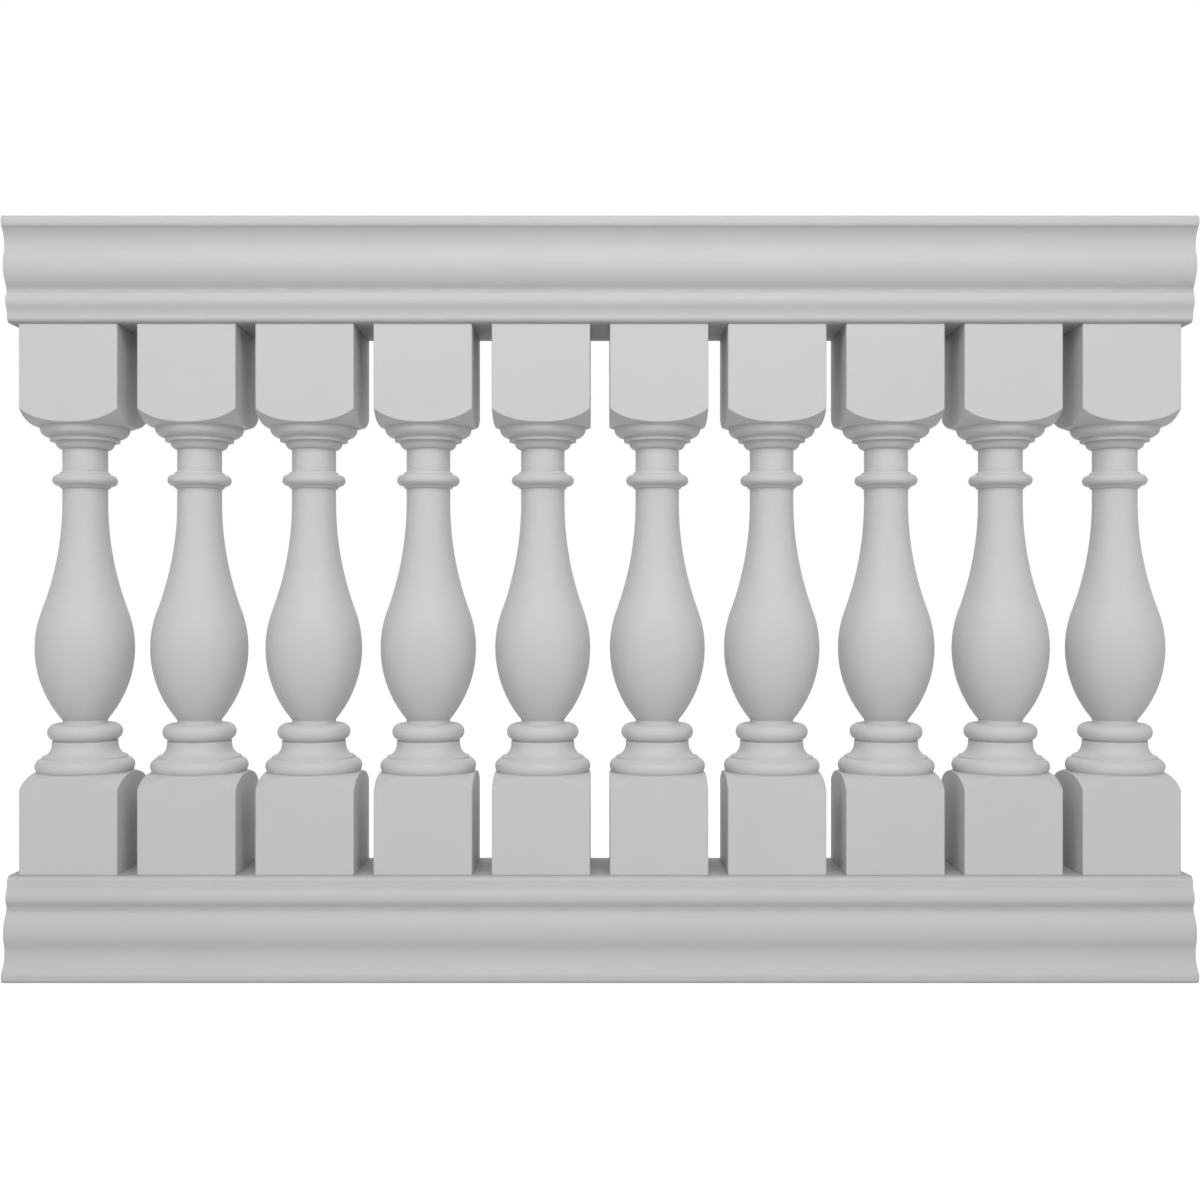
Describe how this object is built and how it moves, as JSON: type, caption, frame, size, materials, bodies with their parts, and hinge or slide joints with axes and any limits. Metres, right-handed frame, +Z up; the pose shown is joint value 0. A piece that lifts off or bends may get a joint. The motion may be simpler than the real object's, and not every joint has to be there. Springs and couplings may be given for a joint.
{
  "type": "fiberglass balustrade bay",
  "caption": "Straight balustrade bay in moulded fibreglass: turned vase balusters with square end blocks between a top and a bottom rail with the same classical moulding.",
  "frame": {"origin": "centre of the bottom rail's flat underside", "axes": "+X along the run, +Y from the front face to the back, +Z up"},
  "size_m": [1.524, 0.179, 0.9779],
  "materials": {
    "frp": "matte gel-coat, unpainted primer grey",
    "frp_filled": "matte, filled resin casting"
  },
  "bodies": {
    "root": {"top_rail": "frp", "bottom_rail": "frp", "top_rail_left_end_block": "frp_filled", "top_rail_right_end_block": "frp_filled", "bottom_rail_left_end_block": "frp_filled", "bottom_rail_right_end_block": "frp_filled", "baluster_01": "frp", "baluster_02": "frp", "baluster_03": "frp", "baluster_04": "frp", "baluster_05": "frp", "baluster_06": "frp", "baluster_07": "frp", "baluster_08": "frp", "baluster_09": "frp", "baluster_10": "frp"}
  },
  "joints": []
}
